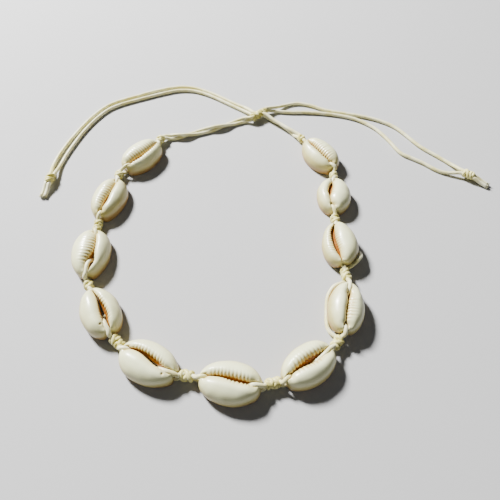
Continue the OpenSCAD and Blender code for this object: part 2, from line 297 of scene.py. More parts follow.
cord = {"thick": 1.5, "sides": 16, "pitch": 1.6, "low": 0.8, "lead": 0.7, "cap": 0.5,
        "plies": 3, "twist": 4.6, "relief": 0.010, "step": 0.5, "easing": 10,
        "strandStep": 0.4, "strandEasing": 4, "inKnot": 1.0, "inEndKnot": 1.2}


def addTube(mesh, line, radiusAt, sides, twist=True):
    # a grid whose columns close round the line, with u round the cord and v metres along it
    uvLayer = mesh.loops.layers.uv.get("cordMap") or mesh.loops.layers.uv.new("cordMap")
    rings = len(line) - 1
    runs = [0.0]
    for i in range(rings):
        runs.append(runs[-1] + (line[i + 1] - line[i]).length)
    made = bmesh.ops.create_grid(mesh, x_segments=sides, y_segments=rings, size=0.5, calc_uvs=True)
    ahead = (line[1] - line[0]).normalized()
    side = ahead.cross(Vector((0.0, 0.0, 1.0)))
    side = (side if side.length > 0.05 else ahead.cross(Vector((1.0, 0.0, 0.0)))).normalized()
    frames = []
    for i in range(rings + 1):
        ahead = (line[min(i + 1, rings)] - line[max(i - 1, 0)]).normalized()
        side = (side - ahead * side.dot(ahead)).normalized()
        frames.append((side.copy(), ahead.cross(side)))
    faces = set()
    for vertex in made["verts"]:
        turn = 2.0 * math.pi * (vertex.co.x + 0.5)
        i = round((vertex.co.y + 0.5) * rings)
        radius = radiusAt(runs[i] / runs[-1])
        if twist:
            radius *= 1.0 + cord["relief"] * math.cos(
                cord["plies"] * (turn - 2.0 * math.pi * runs[i] / (cord["plies"] * cord["twist"])))
        side, up = frames[i]
        vertex.co = (line[i] + (side * math.cos(turn) + up * math.sin(turn)) * radius) * mm
        faces.update(vertex.link_faces)
    for face in faces:
        for loop in face.loops:
            uv = loop[uvLayer].uv
            uv.y = runs[round(uv.y * rings)] * mm


def roundedEnds(radius, share):
    # the two ends of a tube close in a short round cap
    def radiusAt(place):
        near = min(place, 1.0 - place) / share
        return radius * math.sqrt(max(0.0, 1.0 - (1.0 - min(1.0, near)) ** 2))
    return radiusAt


def linkPiece(name, mesh, material):
    bmesh.ops.remove_doubles(mesh, verts=mesh.verts, dist=mergeWithin)
    bmesh.ops.recalc_face_normals(mesh, faces=mesh.faces)
    for face in mesh.faces:
        face.smooth = True
    data = bpy.data.meshes.new(name)
    mesh.to_mesh(data)
    mesh.free()
    data.materials.append(material)
    piece = bpy.data.objects.new(name, data)
    bpy.context.scene.collection.objects.link(piece)
    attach(piece, "root")
    return piece


def lengthOf(line):
    return sum((b - a).length for a, b in zip(line, line[1:]))


def cordPiece(name, line):
    mesh = bmesh.new()
    addTube(mesh, line, roundedEnds(cord["thick"] / 2, cord["cap"] / lengthOf(line)),
            cord["sides"])
    piece = linkPiece(name, mesh, cordCream)
    return piece


# where the knots and cords lie, in millimetres as in the part; the right neck pair lies stacked
knots = [   # x, y, heading
    (-28.2, 58.2, 236), (-43.5, 36.2, 255), (-47.4, 8.6, 268), (-45.6, -18.2, 296),
    (-31.6, -40.0, 318), (-7.2, -51.4, 350), (20.0, -53.8, 12), (42.0, -40.2, 52),
    (48.0, -13.8, 95), (46.8, 11.9, 92), (48.7, 35.5, 88), (36.4, 58.9, 117),
]
knotSize = {"long": 3.0, "height": 2.2}
slide = {   # each pair: lengthwise, sideways, heading from the knot's own
    "at": (17.2, 75.8), "heading": 38, "height": 2.35,
    "neckLeft": (-4.2, -0.65, 180), "freeLeft": (-1.8, 1.3, 108),
    "neckRight": (1.8, -1.3, -80), "freeRight": (4.2, 0.65, 0),
}
endKnot = {   # each knot: x, y, heading of its cut ends
    "long": 4.8, "height": 2.35, "tail": 6.5,
    "left": (-72.7, 34.0, 262), "right": (106.8, 36.4, 325),
}
neckLeft = [   # x, y, turn of the twisted pair
    (-24.8, 61.0, 25), (-22.2, 61.0, 48), (-19.6, 61.2, 82), (-16.5, 62.2, 130),
    (-13.2, 63.8, 175), (-9.8, 64.9, 200), (-6.2, 66.0, 225), (-2.6, 67.1, 265),
    (0.9, 68.9, 315), (4.4, 70.9, 360), (7.8, 72.1, 385), (10.8, 73.0, 420),
]
neckRight = [
    (34.2, 62.2, -50), (32.0, 64.6, -98), (29.4, 67.3, -115), (26.7, 70.1, -126),
    (23.8, 72.4, -115),
]
freeRightA = [   # x, y, height of the middle
    (25.8, 81.6, 1.8), (29.3, 83.7, 1.0), (32.8, 85.2, 0.8), (37.3, 85.7, 0.8),
    (43.3, 83.9, 0.8), (48.8, 81.0, 0.8), (53.3, 79.5, 0.8), (59.8, 77.9, 0.8),
    (66.8, 76.1, 0.8), (73.8, 73.4, 0.8), (80.3, 69.2, 0.8), (84.8, 63.7, 0.8),
    (90.3, 55.4, 0.8), (95.8, 50.0, 0.8), (101.0, 44.6, 0.9),
]
freeRightB = [
    (25.8, 79.7, 0.9), (31.3, 79.1, 0.8), (37.8, 79.0, 0.8), (44.8, 78.6, 0.8),
    (51.3, 77.7, 0.8), (57.3, 76.3, 0.8), (62.8, 74.3, 0.8), (67.8, 71.1, 0.8),
    (72.5, 66.4, 0.8), (76.8, 59.2, 0.8), (80.6, 51.2, 0.8), (85.2, 47.8, 0.8),
    (89.8, 44.6, 0.8), (94.0, 40.8, 0.8), (98.4, 38.6, 0.9),
]
freeLeftA = [
    (11.2, 81.2, 1.5), (6.6, 84.5, 0.9), (1.7, 88.0, 0.8), (-3.2, 91.5, 0.8),
    (-8.4, 94.7, 0.8), (-15.6, 98.0, 0.8), (-23.6, 98.7, 0.8), (-31.4, 96.8, 0.8),
    (-38.4, 94.1, 0.8), (-45.2, 90.8, 0.8), (-51.8, 87.8, 0.8), (-57.8, 83.5, 0.8),
    (-63.2, 75.8, 0.8), (-67.1, 67.6, 0.8), (-70.3, 59.2, 0.8), (-72.8, 50.8, 0.8),
    (-74.0, 42.9, 0.9),
]
freeLeftB = [
    (10.0, 79.8, 0.9), (5.4, 83.1, 0.8), (0.6, 86.5, 0.8), (-4.4, 90.0, 0.8),
    (-9.2, 92.9, 0.8), (-15.8, 95.6, 0.8), (-23.2, 96.0, 0.8), (-30.6, 93.8, 0.8),
    (-37.8, 90.9, 0.8), (-44.5, 88.0, 0.8), (-51.1, 84.9, 0.8), (-56.6, 80.8, 0.8),
    (-61.2, 74.0, 0.8), (-64.8, 66.3, 0.8), (-67.5, 58.2, 0.8), (-69.7, 50.0, 0.8),
    (-71.0, 42.6, 0.9),
]


def outOf(place, facing):
    return [place, place + along(facing) * cord["lead"]]


def knotEnd(k, way, rise, side):
    x, y, heading = knots[k]
    return (Vector((x, y, knotSize["height"] + rise * cord["pitch"] / 2))
            + along(heading) * way * knotSize["long"] / 2
            + leftOf(heading) * side * cord["pitch"] / 2)


def slidePlace(flat, rise):
    lengthwise, sideways, _ = flat
    return (Vector((*slide["at"], slide["height"] + rise * cord["pitch"] / 2))
            + along(slide["heading"]) * lengthwise + leftOf(slide["heading"]) * sideways)


def outOfSlide(flat, rise):
    return outOf(slidePlace(flat, rise), slide["heading"] + flat[2])


def endPlace(end, way, side):
    x, y, heading = end
    return (Vector((x, y, endKnot["height"])) + along(heading) * way * endKnot["long"] / 2
            + leftOf(heading) * side * cord["pitch"] / 2)


def pairStrand(rows, which):
    # one of two strands that turn round each other and lie on the ground or on each other
    strand = []
    for i, (x, y, turn) in enumerate(rows):
        before = Vector(rows[max(i - 1, 0)][:2])
        after = Vector(rows[min(i + 1, len(rows) - 1)][:2])
        heading = math.degrees(math.atan2(after.y - before.y, after.x - before.x))
        apart = which * cord["pitch"] / 2
        rise = apart * math.sin(math.radians(turn))
        strand.append(Vector((x, y, cord["low"] + abs(rise) + rise))
                      + leftOf(heading) * apart * math.cos(math.radians(turn)))
    return strand


def wholeCord(k, way, pair, which, intoFlat, outFlat, rows, end, side):
    # one strand from the string's outer knot k, through the sliding knot and on to its end knot;
    # way is 1 where the cord leaves along the string, which and side are 1 to its left, else -1
    heading = knots[k][2] + (0 if way > 0 else 180)
    first = outOf(knotEnd(k, way, 0, way * which), heading)
    into = outOfSlide(intoFlat, -way * which)[::-1]
    out = outOfSlide(outFlat, which)
    last = outOf(endPlace(end, -1, side), end[2] + 180)[::-1]
    return ([first[0] - along(heading) * cord["inKnot"]]
            + smoothLine(first + pairStrand(pair, which) + into, 5)
            + [out[0]] + smoothLine([out[1]] + [Vector(row) for row in rows] + [last[0]], 6)
            + [last[1], last[1] + along(end[2]) * cord["inEndKnot"]])


wholeCords = [   # name, route, nodes
    ("leftCordA", wholeCord(0, -1, neckLeft, 1, slide["neckLeft"], slide["freeRight"],
                            freeRightA, endKnot["right"], 1),
     ("neck_cord_left_a", "free_cord_right_a")),
    ("leftCordB", wholeCord(0, -1, neckLeft, -1, slide["neckLeft"], slide["freeRight"],
                            freeRightB, endKnot["right"], -1),
     ("neck_cord_left_b", "free_cord_right_b")),
    ("rightCordA", wholeCord(11, 1, neckRight, 1, slide["neckRight"], slide["freeLeft"],
                             freeLeftA, endKnot["left"], -1),
     ("neck_cord_right_a", "free_cord_left_a")),
    ("rightCordB", wholeCord(11, 1, neckRight, -1, slide["neckRight"], slide["freeLeft"],
                             freeLeftB, endKnot["left"], 1),
     ("neck_cord_right_b", "free_cord_left_b")),
]


# knots are cord wound round the string's way and over itself
wound = {"steps": 120, "lap": 6, "bulge": 0.14, "thickest": 1.65, "pressed": 0.3, "sides": 14}


def woundLine(wraps, waves, ring, bulge, reach, phase):
    # once round and a little on, so that both closed ends lie inside the cord
    line = []
    steps = wound["steps"]
    for i in range(steps + wound["lap"] + 1):
        turn = 2.0 * math.pi * i / steps
        out = ring + bulge * math.cos(waves * turn + phase)
        line.append(Vector((reach * math.sin(waves * turn + phase), out * math.cos(wraps * turn),
                            out * math.sin(wraps * turn))))
    return line


def tiedKnot(name, lumps, place, heading, material, node, tilt=0.0):
    # each lump: shift along the string, wraps, waves, outer radius, length, phase
    mesh = bmesh.new()
    for shift, wraps, waves, radius, long, phase in lumps:
        thick = min(wound["thickest"], (long + wound["pressed"]) / wraps)
        bulge = wound["bulge"]
        ring = radius - thick / 2 - bulge
        line = woundLine(wraps, waves, ring, bulge, (long - thick) / 2, phase)
        addTube(mesh, [point + Vector((shift, 0.0, 0.0)) for point in line],
                roundedEnds(thick / 2, wound["lap"] / 2 / (len(line) - 1)), wound["sides"])
    bmesh.ops.transform(mesh, verts=mesh.verts, matrix=Matrix.Translation(Vector(place) * mm)
                        @ Matrix.Rotation(math.radians(heading), 4, "Z")
                        @ Matrix.Rotation(math.radians(tilt), 4, "Y"))
    piece = linkPiece(name, mesh, material)
    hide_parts(node)
    return piece


knotForms = [   # lumps of each knot of the string, and its tilt
    ([(0.0, 3, 2, 2.0, 4.2, 0.4)], 6),
    ([(0.0, 2, 3, 2.0, 3.6, 1.9)], -5),
    ([(-1.2, 2, 3, 1.9, 3.0, 0.9), (1.3, 2, 3, 1.8, 3.0, 2.6)], 0),
    ([(0.0, 2, 3, 1.9, 3.5, 2.2)], 8),
    ([(-1.1, 2, 3, 2.0, 3.2, 0.3), (1.3, 2, 3, 1.9, 3.0, 1.1)], 4),
    ([(-0.3, 3, 2, 2.1, 4.9, 1.5)], -4),
    ([(-1.0, 2, 3, 1.9, 3.2, 2.8), (1.3, 2, 3, 2.0, 3.0, 0.5)], 5),
    ([(0.0, 3, 2, 2.0, 4.9, 0.9)], -6),
    ([(-1.0, 2, 3, 2.0, 3.4, 1.6), (1.4, 2, 3, 1.8, 3.0, 0.4)], 3),
    ([(0.0, 3, 2, 2.0, 4.3, 0.1)], 5),
    ([(0.0, 2, 3, 1.9, 3.6, 1.2)], -5),
    ([(0.0, 2, 3, 1.9, 3.8, 2.4)], 7),
]
for i, (lumps, tilt) in enumerate(knotForms):
    x, y, heading = knots[i]
    tiedKnot(f"stringKnot{i + 1:02d}", lumps, (x, y, knotSize["height"]), heading, cordKnotShade,
             f"knot_{i + 1:02d}", tilt)
slidePiece = tiedKnot("slidingKnot",
                      [(-2.3, 3, 2, 2.0, 4.8, 0.5), (0.5, 2, 3, 1.95, 3.2, 2.1),
                       (2.8, 2, 3, 1.95, 3.2, 1.7)],
                      (*slide["at"], slide["height"]), slide["heading"], cordKnotShade, "slide_knot")
for sideName, node in (("left", "end_knot_left"), ("right", "end_knot_right")):
    x, y, heading = endKnot[sideName]
    tiedKnot(f"endKnot{sideName.title()}",
                                   [(-0.5, 3, 2, 1.95, 3.9, 0.7), (1.2, 2, 3, 1.8, 2.7, 2.0)],
                                   (x, y, endKnot["height"]), heading, cordKnotShade, node)
print("knots tied")


# the cut ends behind the end knots, and their fibres
tail = {
    "side": 0.72, "together": 0.06, "sag": 0.9, "inKnot": 1.0, "cap": 0.06,
    "fibres": 46, "fibreThick": 0.15, "fibreSides": 6, "fibreCap": 0.2, "within": 0.66,
    "rooted": 0.7, "short": 0.35, "long": 0.55, "flare": 0.32, "bow": 0.04, "lowest": 0.12,
}


def tailPiece(name, end, node):
    mesh = bmesh.new()
    ahead = along(end[2])
    for side in (1, -1):
        start = endPlace(end, 1, side)
        start += leftOf(end[2]) * side * (tail["side"] - cord["pitch"] / 2)
        tip = Vector((start.x, start.y, cord["low"])) + ahead * endKnot["tail"]
        tip += leftOf(end[2]) * side * tail["together"]
        route = [start - ahead * tail["inKnot"], start, start + ahead * cord["lead"],
                 start + ahead * endKnot["tail"] / 2 - Vector((0.0, 0.0, tail["sag"])), tip]
        addTube(mesh, smoothLine(route, 6), roundedEnds(cord["thick"] / 2, tail["cap"]),
                cord["sides"])
        for _ in range(tail["fibres"]):
            turn = 2.0 * math.pi * random.random()
            out = tail["within"] * math.sqrt(random.random())
            across = leftOf(end[2]) * math.cos(turn) + Vector((0, 0, math.sin(turn)))
            root = tip - ahead * tail["rooted"] + across * out
            reach = tail["rooted"] + tail["short"] + tail["long"] * random.random()
            far = root + ahead * reach + across * tail["flare"] * out * (0.4 + random.random())
            far.z = max(tail["lowest"], far.z)
            middle = (root + far) / 2 + across * tail["bow"]
            addTube(mesh, [root, middle, far],
                    roundedEnds(tail["fibreThick"] / 2, tail["fibreCap"]), tail["fibreSides"],
                    twist=False)
    piece = linkPiece(name, mesh, cordEnds)
    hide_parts(node)
    return piece


tails = {"left": tailPiece("tailsLeft", endKnot["left"], "tails_left"),
         "right": tailPiece("tailsRight", endKnot["right"], "tails_right")}

for name, route, nodes in wholeCords:
    line = relaxed(route, cord["step"], cord["easing"])
    piece = cordPiece(name, line)
    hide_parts(*nodes)
print("cords laid")


# cowrie shells: x runs along the string, y to the neck side, t is the share of the slit's half;
# an end is low where the strand passes through a hole, high where it dips into the slit behind a
# notch, and long where it takes a route of its own along the slit
shellForm = {
    "high": 7.4, "wall": 1.3, "endWall": 1.5, "outline": 0.30, "around": 400,
    "fullMiddle": 2.4, "fullEnds": 1.6, "rimLift": 1.75, "dent": 0.6, "dentHalf": 1.4,
    "lumps": 0.22, "bumps": 0.10, "over": 4.6, "overLow": 2.2, "grooveDeep": 0.80,
    "dimpleHalf": 0.38, "dimpleDeep": 0.35, "valleyWide": 7.0, "valleyReach": 5.0,
    "lipWide": 0.45, "lipDrop": 0.045, "rimRun": 3.0, "rimSoft": 1.3, "rimAside": 1.0,
    "ribStart": 0.35, "ribEnd": 0.25, "ribFade": 1.15, "ribDrop": 0.16, "ribWander": 1.6,
    "ribUneven": 0.45,
    "canalRun": {"low": 1.2, "high": 2.4, "long": 3.2},
    "canalHalf": {"low": 0.3, "high": 0.82, "long": 0.82},
    "notch": {   # half its flat bed, its soft side, its run along the slit
        "low": (0.15, 0.55, 1.0), "high": (0.55, 0.75, 3.2), "long": (0.55, 0.75, 3.2)},
}
# from the slit over the top and the side to the ground-off back: share of the way, share of the
# height (None follows the lobe), share of the wall's thickness, share of the inside's colour
topShares = (0.0, 0.006, 0.018, 0.036, 0.06, 0.09, 0.125, 0.165, 0.21, 0.26, 0.31, 0.36, 0.41,
             0.46, 0.51, 0.56, 0.61, 0.66, 0.71, 0.76, 0.805, 0.845, 0.88, 0.915, 0.945, 0.97,
             0.988)
# the last column, the share of the inside's colour, masks that painted glow and shade
sectionRows = [(share, None, 0.0, 0.0) for share in topShares] + [
    (1.000, 0.30, 0.0, 0.0), (1.000, 0.23, 0.0, 0.0), (0.990, 0.16, 0.0, 0.0),
    (0.972, 0.09, 0.0, 0.0), (0.950, 0.035, 0.0, 0.0), (0.925, 0.00, 0.0, 0.0),
    (0.910, 0.00, 0.0, 0.1), (0.910, 0.00, 0.5, 0.4), (0.910, 0.00, 0.95, 0.8),
    (0.915, 0.02, 1.0, 1.0), (0.960, 0.14, 1.0, 1.0), (0.990, 0.28, 1.0, 1.0),
    (0.985, 0.40, 1.0, 1.0), (0.930, 0.50, 1.0, 1.0), (0.820, 0.57, 1.0, 1.0),
    (0.680, 0.61, 1.0, 1.0), (0.520, 0.62, 1.0, 1.0), (0.360, 0.61, 0.9, 1.0),
    (0.210, 0.585, 0.7, 1.0), (0.100, 0.55, 0.4, 1.0), (0.035, 0.525, 0.2, 1.0),
    (0.006, 0.53, 0.0, 1.0), (0.0, 0.56, 0.0, 1.0), (0.0, 0.61, 0.0, 0.9), (0.0, 0.66, 0.0, 0.7),
    (0.0, 0.71, 0.0, 0.45),
]


def lobe(crest, ribs, reach, start, end, edge=0.80, sharp=1.6):
    # one side of the slit: where it is highest, and its ribs' depth, reach and run along the slit
    return {"crest": crest, "ribs": ribs, "reach": reach, "start": start, "end": end,
            "edge": edge, "sharp": sharp}


def cowrie(place, size, slit, out, neck, **more):
    # size: length, width, egg; slit: shift, wave, narrow, wide, where it is widest, spread; out
    # and neck are its two lobes; hide is how far the strand keeps aside inside the shell; lean is
    # how far each inner wall slants; a route's rows are share, aside, height
    shell = {"place": place, "length": size[0], "width": size[1], "egg": size[2],
             "shift": slit[0], "wave": slit[1], "narrow": slit[2], "wide": slit[3],
             "widest": slit[4], "spread": slit[5], "out": out, "neck": neck,
             "roll": 0.0, "ends": ("low", "high"), "hide": 1.7, "long": None, "under": None,
             # each shell sets how high the painted shade and glow rise up its sides
             "spacing": 1.2, "warmth": 0.5, "dimple": None, "rimHalf": 1.2,
             "lean": (0.8, 0.0), "even": 2}
    shell.update(more)
    shell["half"] = shell["length"] / 2
    shell["slitEnd"] = shell["half"] - shellForm["endWall"]
    return shell


shells = [
    cowrie((-35.0, 46.7, 231), (20.6, 13.8, 0.06), (2.0, 0.1, 0.1, 1.0, 0.45, 0.42),
           lobe(0.50, 0.27, 0.68, -1.1, 0.9, 0.80, 0.9),
           lobe(0.36, 0.34, 0.60, -1.1, 1.1, 0.82, 1.3),
           roll=4, warmth=0.6),
    cowrie((-45.2, 22.2, 258), (21.0, 13.6, -0.06), (0.8, 0.2, 0.07, 0.95, 0.32, 0.27),
           lobe(0.48, 0.25, 0.60, -0.8, 0.85, 0.80, 0.9), lobe(0.45, 0.05, 0.12, -0.3, 0.7, 0.78),
           ends=("high", "high"), warmth=1.0),
    cowrie((-47.4, -5.0, 271), (21.0, 14.2, -0.08), (1.9, 0.2, 0.05, 2.4, 0.60, 0.36),
           lobe(0.52, 0.25, 0.64, -0.75, 0.8, 0.80, 0.9),
           lobe(0.40, 0.22, 0.14, -0.4, 0.85, 0.80, 1.2),
           roll=4, ends=("high", "long"), spacing=1.25, warmth=0.4, lean=(0.45, 0.0),
           long=[(0.80, -0.55, 5.1), (0.62, -0.7, 5.0), (0.46, -0.5, 4.3),
                 (0.36, 0.1, 3.2), (0.2, 0.9, 2.2)]),
    cowrie((-39.2, -29.5, 299), (19.8, 13.6, 0.04), (1.0, 0.0, 0.15, 2.1, 0.30, 0.58),
           lobe(0.50, 0.16, 0.10, 0.0, 0.9, 0.82), lobe(0.30, 0.22, 0.34, -0.8, 0.85, 0.84, 1.2),
           roll=4, ends=("low", "long"), warmth=0.5, dimple=(0.74, -1.9), hide=2.6,
           lean=(0.15, 0.45),
           long=[(0.82, -0.5, 5.0), (0.66, -0.75, 4.9), (0.52, -0.9, 4.0),
                 (0.36, -1.2, 2.8)]),
    cowrie((-20.2, -47.3, 335), (21.2, 14.0, -0.05), (1.0, 0.7, 0.3, 1.6, 0.20, 0.60),
           lobe(0.52, 0.18, 0.10, 0.1, 0.9, 0.82), lobe(0.32, 0.26, 0.40, -0.85, 0.75, 0.84, 1.2),
           ends=("high", "long"), hide=-1.8, warmth=0.2, dimple=(0.76, -1.9),
           lean=(0.0, 0.55),
           long=[(0.80, -0.4, 5.0), (0.62, -0.6, 4.7), (0.48, -0.8, 3.8),
                 (0.32, -1.3, 2.6)]),
    cowrie((6.5, -53.8, 352), (20.8, 14.2, 0.04), (0.5, 0.4, 0.2, 0.85, 0.15, 0.70),
           lobe(0.46, 0.24, 0.20, -0.35, 0.95, 0.80), lobe(0.36, 0.28, 0.42, -0.9, 0.8, 0.82, 1.3),
           ends=("high", "long"), hide=-1.8, warmth=0.3, lean=(0.0, 0.8),
           long=[(0.84, -0.2, 5.0), (0.68, -0.3, 4.0), (0.5, -0.8, 2.8)]),
    cowrie((31.7, -48.1, 35), (20.2, 13.8, 0.05), (0.2, 0.3, 0.25, 1.9, 0.20, 0.62),
           lobe(0.46, 0.10, 0.38, -0.8, 0.6, 0.80), lobe(0.42, 0.40, 0.55, -0.85, 0.9, 0.80, 1.2),
           ends=("high", "long"), hide=-1.3, spacing=1.3, warmth=0.3, lean=(0.0, 0.55),
           long=[(0.84, -0.25, 5.0), (0.58, -0.5, 4.7), (0.32, -0.6, 4.2),
                 (0.08, -0.8, 3.4)]),
    cowrie((45.8, -27.9, 79), (19.8, 12.8, -0.06), (0.6, 0.2, 0.08, 1.4, 0.52, 0.24),
           lobe(0.50, 0.24, 0.55, -0.85, 0.5, 0.78, 1.0), lobe(0.42, 0.18, 0.14, -0.75, 0.7, 0.80),
           roll=-10, ends=("high", "long"), warmth=0.5, rimHalf=2.4,
           long=[(0.84, 0.0, 5.0), (0.66, 0.25, 4.7), (0.50, 0.3, 3.9), (0.36, 0.2, 2.6)],
           under=[(-1, 1.3, 0.9), (-0.9, 3.5, 0.8), (-0.75, 4.8, 0.8), (-0.5, 5.5, 0.8),
                  (-0.2, 5.8, 0.9), (0.1, 6.1, 1.2), (0.4, 6.1, 1.8), (0.65, 5.3, 2.4),
                  (0.83, 4.1, 2.8), (0.96, 2.2, 2.6)]),
    cowrie((47.3, -0.9, 92), (19.8, 13.6, -0.13), (2.0, -0.3, 0.10, 1.5, 0.0, 0.78),
           lobe(0.52, 0.18, 0.22, -0.7, 0.6, 0.80), lobe(0.42, 0.26, 0.66, -0.85, 0.9, 0.82, 1.2),
           roll=8, ends=("low", "low"), even=6, spacing=1.1, warmth=0.7, rimHalf=2.4,
           lean=(1.1, 0.0),
           under=[(-1, -1.0, 2.0), (-0.93, -2.9, 3.2), (-0.83, -4.5, 3.9), (-0.70, -5.9, 4.0),
                  (-0.57, -6.8, 3.5), (-0.44, -7.2, 2.6), (-0.30, -7.0, 1.5), (-0.12, -5.9, 0.8),
                  (0.1, -4.0, 0.8), (0.4, -2.6, 0.8), (0.7, -1.4, 0.8), (1, 0, 0.95)]),
    cowrie((47.5, 23.8, 86), (18.0, 13.9, 0.00), (1.9, 0.4, 0.08, 1.5, 0.20, 0.42),
           lobe(0.50, 0.14, 0.24, -0.5, 0.5, 0.80), lobe(0.42, 0.14, 0.24, -0.5, 0.6, 0.80),
           ends=("high", "high"), even=4, warmth=0.4, lean=(1.1, 0.0)),
    cowrie((43.9, 47.4, 123), (20.4, 13.4, -0.06), (0.9, 0.0, 0.2, 0.7, 0.70, 0.22),
           lobe(0.50, 0.29, 0.70, -0.9, 0.8, 0.80, 0.9),
           lobe(0.34, 0.22, 0.40, -0.8, 0.85, 0.82, 1.2),
           roll=4, ends=("high", "low"), warmth=0.9),
]


def slitLine(shell, x):
    share = x / shell["half"]
    return shell["shift"] * (1 - share * share) - shell["wave"] * math.sin(math.pi * share)


def slitHalf(shell, x):
    # half the slit's width, opened at its two ends for the strand
    t = x / shell["slitEnd"]
    half = 0.5 * mix(shell["narrow"], shell["wide"],
                     math.exp(-abs((t - shell["widest"]) / shell["spread"]) ** shell["even"]))
    end = shell["ends"][x > 0]
    run, room = shellForm["canalRun"][end], shellForm["canalHalf"][end]
    return mix(half, max(half, room), ease((abs(x) - shell["slitEnd"] + run) / (0.8 * run)))


def domeAt(shell, x, y, edge):
    # height of the round top, from the share of the way between the middle and the outline
    far = math.hypot(x / shell["half"],
                     2 * y / (shell["width"] * (1 + shell["egg"] * x / shell["half"])))
    full = shellForm["fullMiddle"] + shellForm["fullEnds"] * (x / shell["half"]) ** 2
    return shellForm["high"] * mix(shellForm["outline"], 1.0,
                                   math.sqrt(1 - min(1.0, far / edge) ** full))


def valleyAt(side, share, reach):
    # share of the height that is cut beside the slit, less at the shell's ends
    away = share * reach
    near = max(0.0, 1 - away / (shellForm["valleyWide"] * side["crest"])) * (1 - share ** 3)
    lip = max(0.0, 1 - away / shellForm["lipWide"])
    return ((1 - side["edge"]) * ease(reach / shellForm["valleyReach"]) * near * near
            + shellForm["lipDrop"] * lip * lip)


def notchAt(shell, x, y, dome):
    # a round notch lets the strand out over each end
    end = shell["ends"][x > 0]
    flat, soft, run = shellForm["notch"][end]
    bed = shellForm["grooveDeep"] * dome if end == "low" else shellForm["over"] - cord["thick"] / 2
    aside = ease((abs(y - slitLine(shell, x)) - flat) / soft)
    inward = ease((shell["slitEnd"] - abs(x)) / run)
    return mix(bed, dome + 1.5, max(aside, inward))


def rimAt(shell, x, y):
    # the ground-off rim rises towards both ends, where the strand passes under it
    run = ease((abs(x) - shell["length"] / 4) / shellForm["rimRun"])
    aside = shell["rimHalf"] + shellForm["rimAside"] - abs(y)
    return shellForm["rimLift"] * (run * ease(aside / shellForm["rimSoft"]))


def shellPoint(shell, turn, row, seed):
    # one point of the section at this turn round the shell, between the slit and the outline
    c, s = math.cos(turn), math.sin(turn)
    bump = shellForm["lumps"] * noise.noise(Vector((2.0 * c, 2.0 * s, seed * 5.3)))
    outX = shell["half"] * c + bump * c
    outY = shell["width"] / 2 * s * (1 + shell["egg"] * c) + bump * s
    outX -= math.copysign(shellForm["dent"] * math.exp(-(outY / shellForm["dentHalf"]) ** 2), c)
    inX = shell["slitEnd"] * c * (1.25 - 0.25 * c * c)
    inY = slitLine(shell, inX) + slitHalf(shell, inX) * softened(math.sin(
        math.pi / 2 * max(-1.0, min(1.0, s / 0.5))), 0.8)
    share, up, wall, _ = row
    reach = math.hypot(outX - inX, outY - inY)
    share = max(0.04 * wall, share - wall * shellForm["wall"] / reach)
    x, y = mix(inX, outX, share), mix(inY, outY, share)
    neckShare = ease(0.5 + s / 0.5)
    if up is not None and row[3] > 0.2 and row[0] < 0.7:
        lean = mix(shell["lean"][0], shell["lean"][1], neckShare)
        deep = ease((0.76 - up) / 0.24) * (1 - share / 0.7)
        y -= math.copysign(2 * slitHalf(shell, inX) * lean * deep, s) * ease(abs(s) / 0.25)
    edge = mix(1.0, math.hypot(outX / shell["half"], 2 * outY / (
        shell["width"] * (1 + shell["egg"] * outX / shell["half"]))), share * share)
    dome = domeAt(shell, x, y, edge)
    if up is None or (wall < 0.15 and up > 0.5):
        sides = [1 - valleyAt(shell[k], share, reach) for k in ("out", "neck")]
        top = softMin(dome * mix(*sides, neckShare), notchAt(shell, x, y, dome), 0.2)
        z = top if up is None else mix(0.5 * dome, top, (up - 0.5) / 0.27)
    else:
        z = up * (dome if wall > 0.15 else shellForm["high"])
        z = max(z, rimAt(shell, x, y) * (1.0 - ease(up / 0.45)))
    return x, y, z, share, inX, neckShare


def grooveAt(shell, side, share, x, edgeDown, seed):
    # grooves between the ribs: deepest at the slit, fading outwards and down the lip's face
    t = x / shell["slitEnd"]
    run = (ease((t - side["start"]) / shellForm["ribStart"])
           * ease((side["end"] - t) / shellForm["ribEnd"]))
    wander = noise.noise(Vector((x * 0.45, seed * 7.1 + side["crest"] * 9.0, 0.4)))
    uneven = noise.noise(Vector((x * 1.3, seed * 3.7, 2.2)))
    reach = side["reach"] * (1.0 + shellForm["ribUneven"] * uneven)
    fade = (max(0.0, 1.0 - share / reach) ** shellForm["ribFade"]
            * (1.0 - ease(edgeDown / shellForm["ribDrop"])))
    phase = (2 * math.pi * x / shell["spacing"] + shellForm["ribWander"] * wander
             + side["crest"] * 20.0)
    return (0.5 + 0.5 * math.cos(phase)) ** side["sharp"] * fade * run


def shellFrame(shell, lowest=0.0):
    x, y, heading = shell["place"]
    return (Matrix.Translation(Vector((x, y, -lowest)))
            @ Matrix.Rotation(math.radians(heading), 4, "Z")
            @ Matrix.Rotation(math.radians(-shell["roll"]), 4, "X"))


